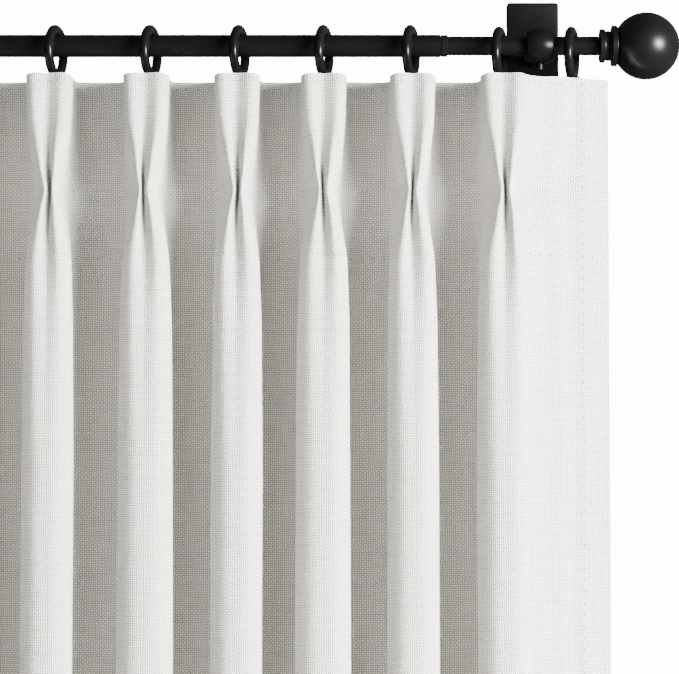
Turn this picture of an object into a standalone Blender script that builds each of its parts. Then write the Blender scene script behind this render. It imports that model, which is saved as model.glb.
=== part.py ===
"""A pair of pinch-pleated curtains hung by rings on a telescoping rod, between two wall brackets.

Metres, +Z up. The wall is the plane Y = 0 and the room is at -Y. The origin is on the wall, midway
between the two brackets, at the height of the rod's axis. Each pleat, with its ring, slides along
the rod on its own carriage; the cloth between two pleats is a flap that passes behind the next one.
"""
import math

import bmesh
import bpy

# Driving dimensions
BRACKET_SPAN = 1.128  # between the middles of the two brackets
ROD_TO_WALL = 0.090  # rod axis to wall
OUTER_TUBE_OD = 0.019
INNER_TUBE_OD = 0.016
OUTER_TUBE_WALL = 0.0008
INNER_TUBE_WALL = 0.0010
TUBE_OVERLAP = 0.180  # inner tube hidden in the outer one
TUBE_END = 0.050  # from a bracket's middle to the end of the tube
COLLAR_FROM_BRACKET = 0.0775  # the collar's end face, from the right bracket's middle
COLLAR_LENGTH = 0.0055
COLLAR_STEP = 0.00025  # the collar is this much smaller in radius than the outer tube

HOLDER_LENGTH = 0.0235  # the barrel that grips the rod
HOLDER_WALL = 0.0056
HOLDER_BULGE = 0.0030  # how much fatter it is in the middle
ARM_RADIUS = 0.0055
ARM_FOOT_RADIUS = 0.009
ARM_FOOT_THICK = 0.003
STUD_RADIUS = 0.003
STUD_DEPTH = 0.0035
STRAP_WIDTH = 0.030
STRAP_HEIGHT = 0.084
STRAP_THICK = 0.0025
WALL_SCREW_SPACING = 0.064
WALL_SCREW_RADIUS = 0.0020
WALL_SCREW_LENGTH = 0.030  # in the wall
WALL_SCREW_HEAD_RADIUS = 0.0040
WALL_SCREW_HEAD = 0.0024
COVER_WIDTH = 0.045
COVER_HEIGHT = 0.104
COVER_DEPTH = 0.0085
COVER_WALL = 0.0015
COVER_CORNER = 0.0030
LOCK_SCREW_RADIUS = 0.0022
LOCK_HEAD_RADIUS = 0.0038
LOCK_HEAD = 0.0050

BALL_RADIUS = 0.02835
NECK_FLANGE_RADIUS = 0.01425
NECK_FLANGE = 0.0042
WAIST_RADIUS = 0.0124
WAIST = 0.0058
RIDGE = 0.0007
CUP_RADIUS = 0.0172
CUP = 0.0045
SPIGOT_LENGTH = 0.020
BALL_STUD_RADIUS = 0.0030
BALL_STUD_LENGTH = 0.009

RING_BORE = 0.030
RING_WIRE = 0.008
RING_TURN = 13.0  # degrees that each ring is turned, its room side towards the lead edge
EYE_OD = 0.0185
EYE_WIRE = 0.003
EYE_OVERLAP = 0.0055  # how far the eyelet's top is let into the ring's bottom

PLEATS = 7
FIRST_PLEAT = 0.0335  # first pleat's middle, from the bracket's middle
LEAD_GAP = 0.001  # each lead edge, from the middle of the span
LEAD_RING = 0.012  # each lead ring, from the middle of the span
RETURN_RING = 0.027  # return ring, outside the bracket
RETURN_EDGE = 0.0546  # cloth's outer edge, outside the bracket
RING_WANDER = (0.0, 0.0011, 0.0038, 0.0084, 0.0096, 0.0057, 0.0033)  # hand spacing of the rings
DROP = 2.134  # finished length of a panel
PLEAT_WIDTH = 0.038
PLEAT_DEPTH = 0.050  # from the flat cloth's plane to the front of the fingers
FINGER_DIP = 0.012  # how far the crease between the fingers goes in
CLOTH = 0.0016  # cloth and lining together, as a solid sheet
HANG_FORWARD = 0.012  # cloth's plane in front of the rod's axis

# Clearances
GAP = 0.0003  # between pieces that touch
TUBE_FIT = 0.0004  # rod in its holders and collar, radial
SLIDE_GAP = 0.0005  # between a flap and the fold that it passes behind
HOLE_FIT = 0.0003  # screws and studs in their holes, radial
TOP_CLEAR = 0.0030  # under the rings, above the cloth

# Facets
ROUND = 24
RING_SEGMENTS = 18
EYE_SEGMENTS = 10
WIRE_SEGMENTS = 6
FINGER_SEGMENTS = 4

BLACK = (0.012, 0.012, 0.013, 1.0)
LINEN = (0.72, 0.70, 0.64, 1.0)

# Derived places
ROD_Y = -ROD_TO_WALL
HALF_SPAN = BRACKET_SPAN / 2
TUBE_RADIUS = {"outer": OUTER_TUBE_OD / 2, "inner": INNER_TUBE_OD / 2}
HOLDER_RADIUS = OUTER_TUBE_OD / 2 + TUBE_FIT + HOLDER_WALL
COLLAR_END = HALF_SPAN - COLLAR_FROM_BRACKET
OUTER_TUBE_STOP = COLLAR_END - COLLAR_LENGTH - GAP
RING_RADIUS = (RING_BORE + RING_WIRE) / 2
EYE_RADIUS = (EYE_OD - EYE_WIRE) / 2
RING_BOTTOM = TUBE_RADIUS["inner"] + GAP - RING_BORE - RING_WIRE
CLOTH_TOP = RING_BOTTOM - TOP_CLEAR
CLOTH_Y = ROD_Y - HANG_FORWARD
PLEAT_PITCH = (HALF_SPAN - FIRST_PLEAT - LEAD_GAP) / PLEATS


def start_clean():
    """Remove every object, and make the two collections."""
    for thing in list(bpy.data.objects):
        bpy.data.objects.remove(thing, do_unlink=True)
    for name in ("curtains_on_a_rod", "cutters"):
        bpy.context.scene.collection.children.link(bpy.data.collections.new(name))


def add(name, mesh, colour, roughness, metallic=0.0, place=(0, 0, 0), turn=(0, 0, 0), parent=None):
    """One named piece with its own material, placed, and hung on its carriage if it has one."""
    piece = bpy.data.objects.new(name, mesh)
    bpy.data.collections["curtains_on_a_rod"].objects.link(piece)
    piece.location = place
    piece.rotation_euler = turn
    piece.parent = parent
    finish = bpy.data.materials.new(name)
    finish.use_nodes = True
    shader = finish.node_tree.nodes["Principled BSDF"]
    shader.inputs["Base Color"].default_value = colour
    shader.inputs["Roughness"].default_value = roughness
    shader.inputs["Metallic"].default_value = metallic
    if not mesh.materials:
        mesh.materials.append(finish)
    piece.material_slots[0].link = "OBJECT"
    piece.material_slots[0].material = finish
    return piece


def add_metal(name, mesh, place=(0, 0, 0), turn=(0, 0, 0), parent=None):
    return add(name, mesh, BLACK, 0.42, 0.6, place, turn, parent)


def carriage(name, x):
    """An empty on the rod's axis that a ring and its cloth hang on."""
    empty = bpy.data.objects.new(name, None)
    bpy.data.collections["curtains_on_a_rod"].objects.link(empty)
    empty.location = (x, ROD_Y, 0)
    return empty


def turned_mesh(name, profile, hollow=False):
    """A profile of (radius, height) points, run down its outer side, to be turned about Z."""
    mesh = bpy.data.meshes.new(name)
    points = [(radius, 0, height) for radius, height in profile]
    edges = [(i, i + 1) for i in range(len(points) - 1)]
    if hollow:
        edges.append((len(points) - 1, 0))
    mesh.from_pydata(points, edges, [])
    return mesh


def turn_it(piece, steps=ROUND):
    screw = piece.modifiers.new("turn", "SCREW")
    screw.axis = "Z"
    screw.angle = 2 * math.pi
    screw.steps = steps
    screw.render_steps = steps
    screw.use_merge_vertices = True
    screw.merge_threshold = 0.00001
    screw.use_smooth_shade = True


def cut(piece, cutter):
    boolean = piece.modifiers.new("cut", "BOOLEAN")
    boolean.operation = "DIFFERENCE"
    boolean.solver = "EXACT"
    boolean.object = cutter


def drill(name, radius, depth, place, turn, steps=16):
    """A round cutter, centred on its place, along its own Z."""
    bpy.ops.mesh.primitive_cylinder_add(
        vertices=steps, radius=radius, depth=depth, location=place, rotation=turn
    )
    drill_bit = bpy.context.object
    drill_bit.name = name
    for holder in list(drill_bit.users_collection):
        holder.objects.unlink(drill_bit)
    bpy.data.collections["cutters"].objects.link(drill_bit)
    drill_bit.hide_render = True
    drill_bit.display_type = "WIRE"
    return drill_bit


ALONG_X = (0, math.radians(90), 0)  # local Z to +X
ALONG_LESS_X = (0, math.radians(-90), 0)
TO_ROOM = (math.radians(90), 0, 0)  # local Z to -Y
DOWN = (math.radians(180), 0, 0)


def tube(name, start, end, radius, wall):
    """A plain tube on the rod's axis."""
    length = end - start
    inside = radius - wall
    profile = [(radius, length), (radius, 0), (inside, 0), (inside, length)]
    piece = add_metal(name, turned_mesh(name, profile, hollow=True), (start, ROD_Y, 0), ALONG_X)
    turn_it(piece)
    return piece


def rod():
    """Outer tube, inner tube and the collar that closes the outer tube's mouth."""
    tube("outer_tube", -HALF_SPAN - TUBE_END, OUTER_TUBE_STOP, TUBE_RADIUS["outer"], OUTER_TUBE_WALL)
    inner_start = OUTER_TUBE_STOP - TUBE_OVERLAP
    tube("inner_tube", inner_start, HALF_SPAN + TUBE_END, TUBE_RADIUS["inner"], INNER_TUBE_WALL)
    collar_radius = TUBE_RADIUS["outer"] - COLLAR_STEP
    collar_wall = collar_radius - TUBE_RADIUS["inner"] - TUBE_FIT
    tube("tube_collar", COLLAR_END - COLLAR_LENGTH, COLLAR_END, collar_radius, collar_wall)


def finial(side, sign, tube_inside):
    """Neck with its spigot in the tube, and a ball on a stud, at one end of the rod."""
    along = ALONG_X if sign > 0 else ALONG_LESS_X
    start = sign * (HALF_SPAN + TUBE_END + GAP)
    spigot = tube_inside - GAP
    waist_start = NECK_FLANGE
    cup_start = NECK_FLANGE + WAIST
    neck_end = cup_start + CUP
    soft = 0.0006
    middle = waist_start + WAIST / 2
    profile = [
        (BALL_STUD_RADIUS + HOLE_FIT, neck_end),
        (CUP_RADIUS - soft, neck_end),
        (CUP_RADIUS, neck_end - soft),
        (CUP_RADIUS, cup_start + soft),
        (CUP_RADIUS - soft, cup_start),
        (WAIST_RADIUS, cup_start),
        (WAIST_RADIUS, middle + RIDGE),
        (WAIST_RADIUS + RIDGE, middle),
        (WAIST_RADIUS, middle - RIDGE),
        (WAIST_RADIUS, waist_start),
        (NECK_FLANGE_RADIUS - soft, waist_start),
        (NECK_FLANGE_RADIUS, waist_start - soft),
        (NECK_FLANGE_RADIUS, soft),
        (NECK_FLANGE_RADIUS - soft, 0),
        (spigot, 0),
        (spigot, -SPIGOT_LENGTH),
        (0, -SPIGOT_LENGTH),
        (0, neck_end - BALL_STUD_LENGTH - GAP),
        (BALL_STUD_RADIUS + HOLE_FIT, neck_end - BALL_STUD_LENGTH - GAP),
    ]
    neck_name = f"{side}_finial_neck"
    # the profile touches the axis along one edge, so that edge is left out
    mesh = turned_mesh(neck_name, profile[17:] + profile[:17])
    neck = add_metal(neck_name, mesh, (start, ROD_Y, 0), along)
    turn_it(neck)

    seat = 0.5 * CUP_RADIUS + 0.5 * WAIST_RADIUS  # radius of the flat on the ball
    to_seat = math.sqrt(BALL_RADIUS**2 - seat**2)
    low = -math.asin(to_seat / BALL_RADIUS)
    rows = 12
    angles = [math.pi / 2 + (low - math.pi / 2) * i / rows for i in range(rows + 1)]
    outline = [(BALL_RADIUS * math.cos(a), BALL_RADIUS * math.sin(a)) for a in angles]
    outline[0] = (0, BALL_RADIUS)
    outline += [
        (BALL_STUD_RADIUS, -to_seat),
        (BALL_STUD_RADIUS, -to_seat - BALL_STUD_LENGTH),
        (0, -to_seat - BALL_STUD_LENGTH),
    ]
    ball_name = f"{side}_finial_ball"
    middle_x = start + sign * (neck_end + GAP + to_seat)
    ball = add_metal(ball_name, turned_mesh(ball_name, outline), (middle_x, ROD_Y, 0), along)
    turn_it(ball)


def rod_holder(side, x, tube_radius):
    """The barrel that the rod passes through, with a socket for the arm and a hole for the lock screw."""
    name = f"{side}_rod_holder"
    half = HOLDER_LENGTH / 2
    bore = tube_radius + TUBE_FIT
    arc_radius = (half**2 + HOLDER_BULGE**2) / (2 * HOLDER_BULGE)
    steps = 8
    spread = math.asin(half / arc_radius)
    outline = []
    for i in range(steps + 1):
        angle = spread - 2 * spread * i / steps
        radius = HOLDER_RADIUS - arc_radius * (1 - math.cos(angle))
        outline.append((radius, arc_radius * math.sin(angle)))
    outline += [(bore, -half), (bore, half)]
    holder = add_metal(name, turned_mesh(name, outline, hollow=True), (x, ROD_Y, 0), ALONG_X)
    turn_it(holder)
    socket_depth = STUD_DEPTH + GAP
    socket = drill(
        f"{side}_socket",
        STUD_RADIUS + HOLE_FIT,
        2 * socket_depth,
        (x, ROD_Y + HOLDER_RADIUS, 0),
        TO_ROOM,
    )
    cut(holder, socket)
    thread = drill(
        f"{side}_thread", LOCK_SCREW_RADIUS + HOLE_FIT, 2 * HOLDER_RADIUS, (x, ROD_Y, -HOLDER_RADIUS), DOWN
    )
    cut(holder, thread)


def lock_screw(side, x, tube_radius):
    """A small round-headed screw under the holder, which pins the rod."""
    name = f"{side}_lock_screw"
    under_head = HOLDER_RADIUS + GAP
    tip = tube_radius + GAP
    soft = 0.0005
    profile = [
        (0, under_head + LOCK_HEAD),
        (LOCK_HEAD_RADIUS - soft, under_head + LOCK_HEAD),
        (LOCK_HEAD_RADIUS, under_head + LOCK_HEAD - soft),
        (LOCK_HEAD_RADIUS, under_head),
        (LOCK_SCREW_RADIUS, under_head),
        (LOCK_SCREW_RADIUS, tip),
        (0, tip),
    ]
    screw = add_metal(name, turned_mesh(name, profile), (x, ROD_Y, 0), DOWN)
    turn_it(screw, 12)


def wall_strap(side, x):
    """The steel strap that is screwed to the wall, under the cover."""
    name = f"{side}_wall_strap"
    mesh = bpy.data.meshes.new(name)
    shape = bmesh.new()
    bmesh.ops.create_cube(shape, size=1)
    bmesh.ops.scale(shape, vec=(STRAP_WIDTH, STRAP_THICK, STRAP_HEIGHT), verts=shape.verts)
    shape.to_mesh(mesh)
    shape.free()
    strap = add_metal(name, mesh, (x, -STRAP_THICK / 2, 0))
    for end, height in (("top", WALL_SCREW_SPACING / 2), ("bottom", -WALL_SCREW_SPACING / 2)):
        hole = drill(
            f"{side}_{end}_hole", WALL_SCREW_RADIUS + HOLE_FIT, 4 * STRAP_THICK, (x, 0, height), TO_ROOM
        )
        cut(strap, hole)


def wall_screws(side, x):
    """The two screws that hold one strap to the wall."""
    head_start = STRAP_THICK + GAP
    profile = [
        (0, head_start + WALL_SCREW_HEAD),
        (0.6 * WALL_SCREW_HEAD_RADIUS, head_start + WALL_SCREW_HEAD),
        (WALL_SCREW_HEAD_RADIUS, head_start + 0.4 * WALL_SCREW_HEAD),
        (WALL_SCREW_HEAD_RADIUS, head_start),
        (WALL_SCREW_RADIUS, head_start),
        (WALL_SCREW_RADIUS, -WALL_SCREW_LENGTH),
        (0, -WALL_SCREW_LENGTH - WALL_SCREW_RADIUS),
    ]
    for end, height in (("top", WALL_SCREW_SPACING / 2), ("bottom", -WALL_SCREW_SPACING / 2)):
        name = f"{side}_wall_screw_{end}"
        screw = add_metal(name, turned_mesh(name, profile), (x, 0, height), TO_ROOM)
        turn_it(screw, 12)


def cover_plate(side, x):
    """A shallow pressed pan that hides the strap and its screws, with a hole for the arm."""
    name = f"{side}_cover_plate"
    mesh = bpy.data.meshes.new(name)
    shape = bmesh.new()
    bmesh.ops.create_cube(shape, size=1)
    bmesh.ops.scale(shape, vec=(COVER_WIDTH, COVER_DEPTH, COVER_HEIGHT), verts=shape.verts)
    upright = [e for e in shape.edges if abs(e.verts[0].co.y - e.verts[1].co.y) > COVER_DEPTH / 2]
    bmesh.ops.bevel(shape, geom=upright, offset=COVER_CORNER, segments=3, affect="EDGES", profile=0.5)
    back = [f for f in shape.faces if f.normal.y > 0.9]
    bmesh.ops.delete(shape, geom=back, context="FACES_ONLY")
    shape.to_mesh(mesh)
    shape.free()
    cover = add_metal(name, mesh, (x, -COVER_DEPTH / 2 - GAP, 0))
    wall = cover.modifiers.new("wall", "SOLIDIFY")
    wall.thickness = COVER_WALL
    wall.offset = -1
    wall.use_even_offset = True
    arm_hole = drill(
        f"{side}_arm_hole", ARM_RADIUS + HOLE_FIT, 2 * COVER_DEPTH, (x, -COVER_DEPTH, 0), TO_ROOM, 24
    )
    cut(cover, arm_hole)


def arm(side, x):
    """The round arm: a foot on the strap, a shaft, and a stud in the rod holder."""
    name = f"{side}_arm"
    foot = STRAP_THICK + GAP
    shaft_end = ROD_TO_WALL - math.sqrt(HOLDER_RADIUS**2 - ARM_RADIUS**2) - 4 * GAP
    stud_end = ROD_TO_WALL - HOLDER_RADIUS + STUD_DEPTH
    profile = [
        (0, stud_end),
        (STUD_RADIUS, stud_end),
        (STUD_RADIUS, shaft_end - 4 * GAP),
        (ARM_RADIUS, shaft_end - 4 * GAP),
        (ARM_RADIUS, foot + ARM_FOOT_THICK),
        (ARM_FOOT_RADIUS, foot + ARM_FOOT_THICK),
        (ARM_FOOT_RADIUS, foot),
        (0, foot),
    ]
    bar = add_metal(name, turned_mesh(name, profile), (x, 0, 0), TO_ROOM)
    turn_it(bar, 24)


def bracket(side, sign, tube_radius):
    x = sign * HALF_SPAN
    wall_strap(side, x)
    wall_screws(side, x)
    arm(side, x)
    cover_plate(side, x)
    rod_holder(side, x, tube_radius)
    lock_screw(side, x, tube_radius)


def ring_mesh():
    """A wire ring in the YZ plane, with a small eyelet let into its bottom that faces the room."""
    bpy.ops.mesh.primitive_torus_add(
        major_segments=RING_SEGMENTS,
        minor_segments=WIRE_SEGMENTS,
        major_radius=RING_RADIUS,
        minor_radius=RING_WIRE / 2,
        rotation=(0, math.radians(90), 0),
    )
    ring = bpy.context.object
    eye_height = -(RING_BORE / 2 + RING_WIRE) + EYE_OVERLAP - EYE_OD / 2
    bpy.ops.mesh.primitive_torus_add(
        major_segments=EYE_SEGMENTS,
        minor_segments=WIRE_SEGMENTS,
        major_radius=EYE_RADIUS,
        minor_radius=EYE_WIRE / 2,
        rotation=(math.radians(90), 0, 0),
        location=(0, 0, eye_height),
    )
    eye = bpy.context.object
    bpy.context.view_layer.objects.active = ring
    bpy.ops.object.select_all(action="DESELECT")
    ring.select_set(True)
    bpy.ops.object.transform_apply(location=True, rotation=True)
    joint = ring.modifiers.new("weld", "BOOLEAN")
    joint.operation = "UNION"
    joint.solver = "EXACT"
    joint.object = eye
    mesh = bpy.data.meshes.new_from_object(ring.evaluated_get(bpy.context.evaluated_depsgraph_get()))
    mesh.name = "ring_with_eyelet"
    mesh.materials.clear()
    mesh.shade_smooth()
    mesh.set_sharp_from_angle(angle=math.radians(50))
    bpy.data.objects.remove(ring, do_unlink=True)
    bpy.data.objects.remove(eye, do_unlink=True)
    return mesh


def sheet_mesh(name, path):
    """Cloth along a path of (x, y) points, from its top to its hem, to be given its thickness."""
    mesh = bpy.data.meshes.new(name)
    shape = bmesh.new()
    tops = [shape.verts.new((x, y, CLOTH_TOP)) for x, y in path]
    edges = [shape.edges.new(pair) for pair in zip(tops, tops[1:])]
    grown = bmesh.ops.extrude_edge_only(shape, edges=edges)
    hems = [v for v in grown["geom"] if isinstance(v, bmesh.types.BMVert)]
    bmesh.ops.translate(shape, vec=(0, 0, -DROP), verts=hems)
    shape.to_mesh(mesh)
    shape.free()
    return mesh


def add_cloth(name, path, hung_on):
    piece = add(name, sheet_mesh(name, path), LINEN, 0.9, parent=hung_on)
    body = piece.modifiers.new("cloth", "SOLIDIFY")
    body.thickness = CLOTH
    body.offset = 0
    body.use_even_offset = True
    return piece


def pleat_path(outward, flap):
    """Plan of one pleat about its ring: near flank, two fingers, far flank, and the flap beyond it.

    outward is +1 where the bracket is at +X. Y is measured from the rod's axis.
    """
    half = (PLEAT_WIDTH - CLOTH) / 2
    plane = CLOTH_Y - ROD_Y
    back = plane - CLOTH - SLIDE_GAP
    front = plane - PLEAT_DEPTH + CLOTH / 2
    finger = half / 2
    path = [(outward * half, back)]
    for middle in (finger, -finger):
        for i in range(FINGER_SEGMENTS + 1):
            angle = math.pi * i / FINGER_SEGMENTS
            x = middle + finger * math.cos(angle)
            y = front + FINGER_DIP - FINGER_DIP * math.sin(angle)
            if middle > 0 or i > 0:
                path.append((outward * x, y))
    if flap > 0:
        path.append((-outward * half, plane))
        path.append((-outward * (half + CLOTH / 2 + flap), plane))
    else:
        path.append((-outward * half, back))
    return path


def panel(side, sign, ring):
    """One curtain: a return edge, seven pleats and a lead edge, each on its own ring."""
    places = [
        sign * (HALF_SPAN - FIRST_PLEAT - PLEAT_PITCH * i + RING_WANDER[i]) for i in range(PLEATS)
    ]
    lead = sign * LEAD_RING
    outside = sign * (HALF_SPAN + RETURN_RING)
    plane = CLOTH_Y - ROD_Y
    half = PLEAT_WIDTH / 2

    def add_ring(name, x, hung_on):
        inside = "inner" if x > COLLAR_END else "outer"
        height = TUBE_RADIUS[inside] + GAP - RING_BORE / 2
        turn = (0, 0, -sign * math.radians(RING_TURN))
        add_metal(name, ring, (0, 0, height), turn, hung_on)

    hung_on = carriage(f"{side}_carriage_return", outside)
    add_ring(f"{side}_ring_return", outside, hung_on)
    inner_edge = places[0] + sign * (half + GAP)
    outer_edge = sign * (HALF_SPAN + RETURN_EDGE)
    add_cloth(
        f"{side}_return_edge", [(outer_edge - outside, plane), (inner_edge - outside, plane)], hung_on
    )
    for i, x in enumerate(places):
        last = i == PLEATS - 1
        flap = 0 if last else abs(places[i + 1] - x) - PLEAT_WIDTH - GAP
        hung_on = carriage(f"{side}_carriage_{i + 1}", x)
        add_ring(f"{side}_ring_{i + 1}", x, hung_on)
        add_cloth(f"{side}_pleat_{i + 1}", pleat_path(sign, flap), hung_on)
    hung_on = carriage(f"{side}_carriage_lead", lead)
    add_ring(f"{side}_ring_lead", lead, hung_on)
    behind = plane + CLOTH + SLIDE_GAP
    near = places[-1] - sign * (half + GAP)
    far = sign * LEAD_GAP
    add_cloth(f"{side}_lead_edge", [(near - lead, behind), (far - lead, behind)], hung_on)


start_clean()
rod()
finial("left", -1, TUBE_RADIUS["outer"] - OUTER_TUBE_WALL)
finial("right", 1, TUBE_RADIUS["inner"] - INNER_TUBE_WALL)
bracket("left", -1, TUBE_RADIUS["outer"])
bracket("right", 1, TUBE_RADIUS["inner"])
ring_shape = ring_mesh()
panel("left", -1, ring_shape)
panel("right", 1, ring_shape)
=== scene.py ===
"""A pair of pinch-pleated curtains on a black telescoping rod, finished for viewing.

The file follows the order of hanging: brackets on the wall, the rod and its finials, the rings, the
drapery hooks, and then the two panels of cloth with their stitching.
"""
import math

import bpy
import numpy as np
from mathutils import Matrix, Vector


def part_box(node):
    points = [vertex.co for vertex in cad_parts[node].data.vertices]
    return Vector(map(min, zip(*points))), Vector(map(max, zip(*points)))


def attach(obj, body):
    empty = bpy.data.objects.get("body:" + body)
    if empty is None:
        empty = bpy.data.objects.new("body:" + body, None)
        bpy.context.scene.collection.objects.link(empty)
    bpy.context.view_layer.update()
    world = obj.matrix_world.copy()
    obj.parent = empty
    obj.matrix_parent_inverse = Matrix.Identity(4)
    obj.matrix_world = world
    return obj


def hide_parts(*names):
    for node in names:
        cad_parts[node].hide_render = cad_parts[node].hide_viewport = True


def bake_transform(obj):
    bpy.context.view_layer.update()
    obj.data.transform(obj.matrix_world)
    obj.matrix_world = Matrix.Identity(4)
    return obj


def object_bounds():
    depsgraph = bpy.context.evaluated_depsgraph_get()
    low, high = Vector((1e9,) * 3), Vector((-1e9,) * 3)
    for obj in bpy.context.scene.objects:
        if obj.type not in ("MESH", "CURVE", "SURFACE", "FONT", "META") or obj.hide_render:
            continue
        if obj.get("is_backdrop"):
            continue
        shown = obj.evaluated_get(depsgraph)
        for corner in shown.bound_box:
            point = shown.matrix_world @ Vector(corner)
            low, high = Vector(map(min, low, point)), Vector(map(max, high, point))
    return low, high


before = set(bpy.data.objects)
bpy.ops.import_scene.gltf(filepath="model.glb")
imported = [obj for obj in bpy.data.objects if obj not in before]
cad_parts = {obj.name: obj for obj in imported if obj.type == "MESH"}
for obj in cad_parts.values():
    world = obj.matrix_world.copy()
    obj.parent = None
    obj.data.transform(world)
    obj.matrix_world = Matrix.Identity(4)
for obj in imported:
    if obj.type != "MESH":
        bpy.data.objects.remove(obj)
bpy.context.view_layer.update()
SIDES = (("left", -1), ("right", 1))


# Wall straps and wall screws. Each bracket starts as a zinc-plated steel strap, held to the wall by
# two pan-headed screws. They are the frame's own pieces and only get their plating here.
def add_node(tree, kind, inputs=None, **settings):
    """One shader node, its settings, and its inputs as values or as sockets to link from."""
    made = tree.nodes.new(kind)
    for key, value in settings.items():
        setattr(made, key, value)
    for key, value in (inputs or {}).items():
        if isinstance(value, bpy.types.NodeSocket):
            tree.links.new(value, made.inputs[key])
        else:
            made.inputs[key].default_value = value
    return made


def new_material(name):
    material = bpy.data.materials.new(name)
    material.use_nodes = True
    return material, material.node_tree, material.node_tree.nodes["Principled BSDF"]


def metal_grain_group():
    """Fine mottling of a coated or plated metal: its tone, its dullness and its orange peel."""
    group = bpy.data.node_groups.new("metal_grain", "ShaderNodeTree")
    for name in ("Mottle Scale", "Peel Scale"):
        group.interface.new_socket(name, in_out="INPUT", socket_type="NodeSocketFloat")
    for name in ("Mottle", "Peel"):
        group.interface.new_socket(name, in_out="OUTPUT", socket_type="NodeSocketFloat")
    given = group.nodes.new("NodeGroupInput")
    result = group.nodes.new("NodeGroupOutput")
    place = add_node(group, "ShaderNodeTexCoord").outputs["Object"]
    mottle = add_node(
        group,
        "ShaderNodeTexNoise",
        {"Vector": place, "Scale": given.outputs["Mottle Scale"], "Detail": 5.0, "Roughness": 0.6},
    )
    peel = add_node(
        group,
        "ShaderNodeTexNoise",
        {"Vector": place, "Scale": given.outputs["Peel Scale"], "Detail": 2.0, "Roughness": 0.5},
    )
    group.links.new(mottle.outputs["Fac"], result.inputs["Mottle"])
    group.links.new(peel.outputs["Fac"], result.inputs["Peel"])
    return group


METAL_GRAIN = metal_grain_group()


def metal_finish(
    name, dark, light, roughness, spread, metallic, mottle_scale, peel_scale, peel_depth, gloss=0.5
):
    """A coated or plated metal whose tone and dullness wander with its grain."""
    material, tree, shader = new_material(name)
    grain = tree.nodes.new("ShaderNodeGroup")
    grain.node_tree = METAL_GRAIN
    grain.inputs["Mottle Scale"].default_value = mottle_scale
    grain.inputs["Peel Scale"].default_value = peel_scale
    # a colour mix has its own A and B sockets, numbers 6 and 7, and its own result, number 2
    tone = add_node(
        tree,
        "ShaderNodeMix",
        {0: grain.outputs["Mottle"], 6: (*dark, 1.0), 7: (*light, 1.0)},
        data_type="RGBA",
    )
    dull = add_node(
        tree,
        "ShaderNodeMapRange",
        {"Value": grain.outputs["Mottle"], "To Min": roughness - spread, "To Max": roughness + spread},
    )
    bump = add_node(
        tree,
        "ShaderNodeBump",
        {"Height": grain.outputs["Peel"], "Strength": 1.0, "Distance": peel_depth},
    )
    tree.links.new(tone.outputs[2], shader.inputs["Base Color"])
    tree.links.new(dull.outputs["Result"], shader.inputs["Roughness"])
    tree.links.new(bump.outputs["Normal"], shader.inputs["Normal"])
    shader.inputs["Metallic"].default_value = metallic
    shader.inputs["Specular IOR Level"].default_value = gloss
    return material


ZINC = metal_finish("zinc_plate", (0.38, 0.38, 0.37), (0.62, 0.62, 0.60), 0.38, 0.10, 1.0, 90, 900, 0.00005)


def give(piece, material):
    """Put one finish all over a piece."""
    piece.data.materials.clear()
    piece.data.materials.append(material)


for side, sign in SIDES:
    for part in ("wall_strap", "wall_screw_top", "wall_screw_bottom"):
        node = bpy.data.objects[f"{side}_{part}"]
        for holder in node.material_slots:
            holder.material = ZINC


# Cover plates. Each is a shallow pan pressed from sheet steel, with softened corners and a hole for
# the arm, painted satin black. It slips over the strap and hides the screws.
BLACK = (0.0018, 0.0018, 0.0020)
BLACK_PAINT = metal_finish(
    "satin_black_paint", BLACK, (0.0034, 0.0034, 0.0037), 0.31, 0.04, 0.0, 60, 1400, 0.00004, gloss=0.20
)
PLATE_STEEL = 0.0015
PLATE_CORNER = 0.0030
PLATE_EDGE = 0.0012
ARM_HOLE_RADIUS = 0.0058


def begin():
    """Deselect everything, so that the next operator acts on the new piece alone."""
    if bpy.context.object and bpy.context.object.mode == "EDIT":
        bpy.ops.object.mode_set(mode="OBJECT")
    bpy.ops.object.select_all(action="DESELECT")


def settle(piece, angle=35):
    """Put a piece's place into its mesh, and shade its round faces smooth."""
    begin()
    piece.select_set(True)
    bpy.context.view_layer.objects.active = piece
    bpy.ops.object.transform_apply(location=True, rotation=True, scale=True)
    bpy.ops.object.shade_smooth_by_angle(angle=math.radians(angle))
    return piece


def apply_all(piece):
    bpy.context.view_layer.objects.active = piece
    for modifier in list(piece.modifiers):
        bpy.ops.object.modifier_apply(modifier=modifier.name)


def pick(piece, kind, wanted):
    """Select just the edges or the faces of a piece that satisfy a test, and stay in edit mode."""
    bpy.ops.object.mode_set(mode="EDIT")
    bpy.ops.mesh.select_mode(type=kind)
    bpy.ops.mesh.select_all(action="DESELECT")
    bpy.ops.object.mode_set(mode="OBJECT")
    mesh = piece.data
    for item in mesh.edges if kind == "EDGE" else mesh.polygons:
        item.select = wanted([mesh.vertices[i].co for i in item.vertices])
    bpy.ops.object.mode_set(mode="EDIT")


def drill(piece, place, along, radius, depth, sides=32):
    """Cut a round hole, its middle at a place and its axis along a direction."""
    begin()
    bpy.ops.mesh.primitive_cylinder_add(
        vertices=sides,
        radius=radius,
        depth=depth,
        location=place,
        rotation=Vector((0, 0, 1)).rotation_difference(Vector(along)).to_euler(),
    )
    bit = bpy.context.object
    hole = piece.modifiers.new("hole", "BOOLEAN")
    hole.operation = "DIFFERENCE"
    hole.object = bit
    apply_all(piece)
    bpy.data.objects.remove(bit, do_unlink=True)


def middle_of(node):
    low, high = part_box(node)
    return (Vector(low) + Vector(high)) / 2


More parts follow.
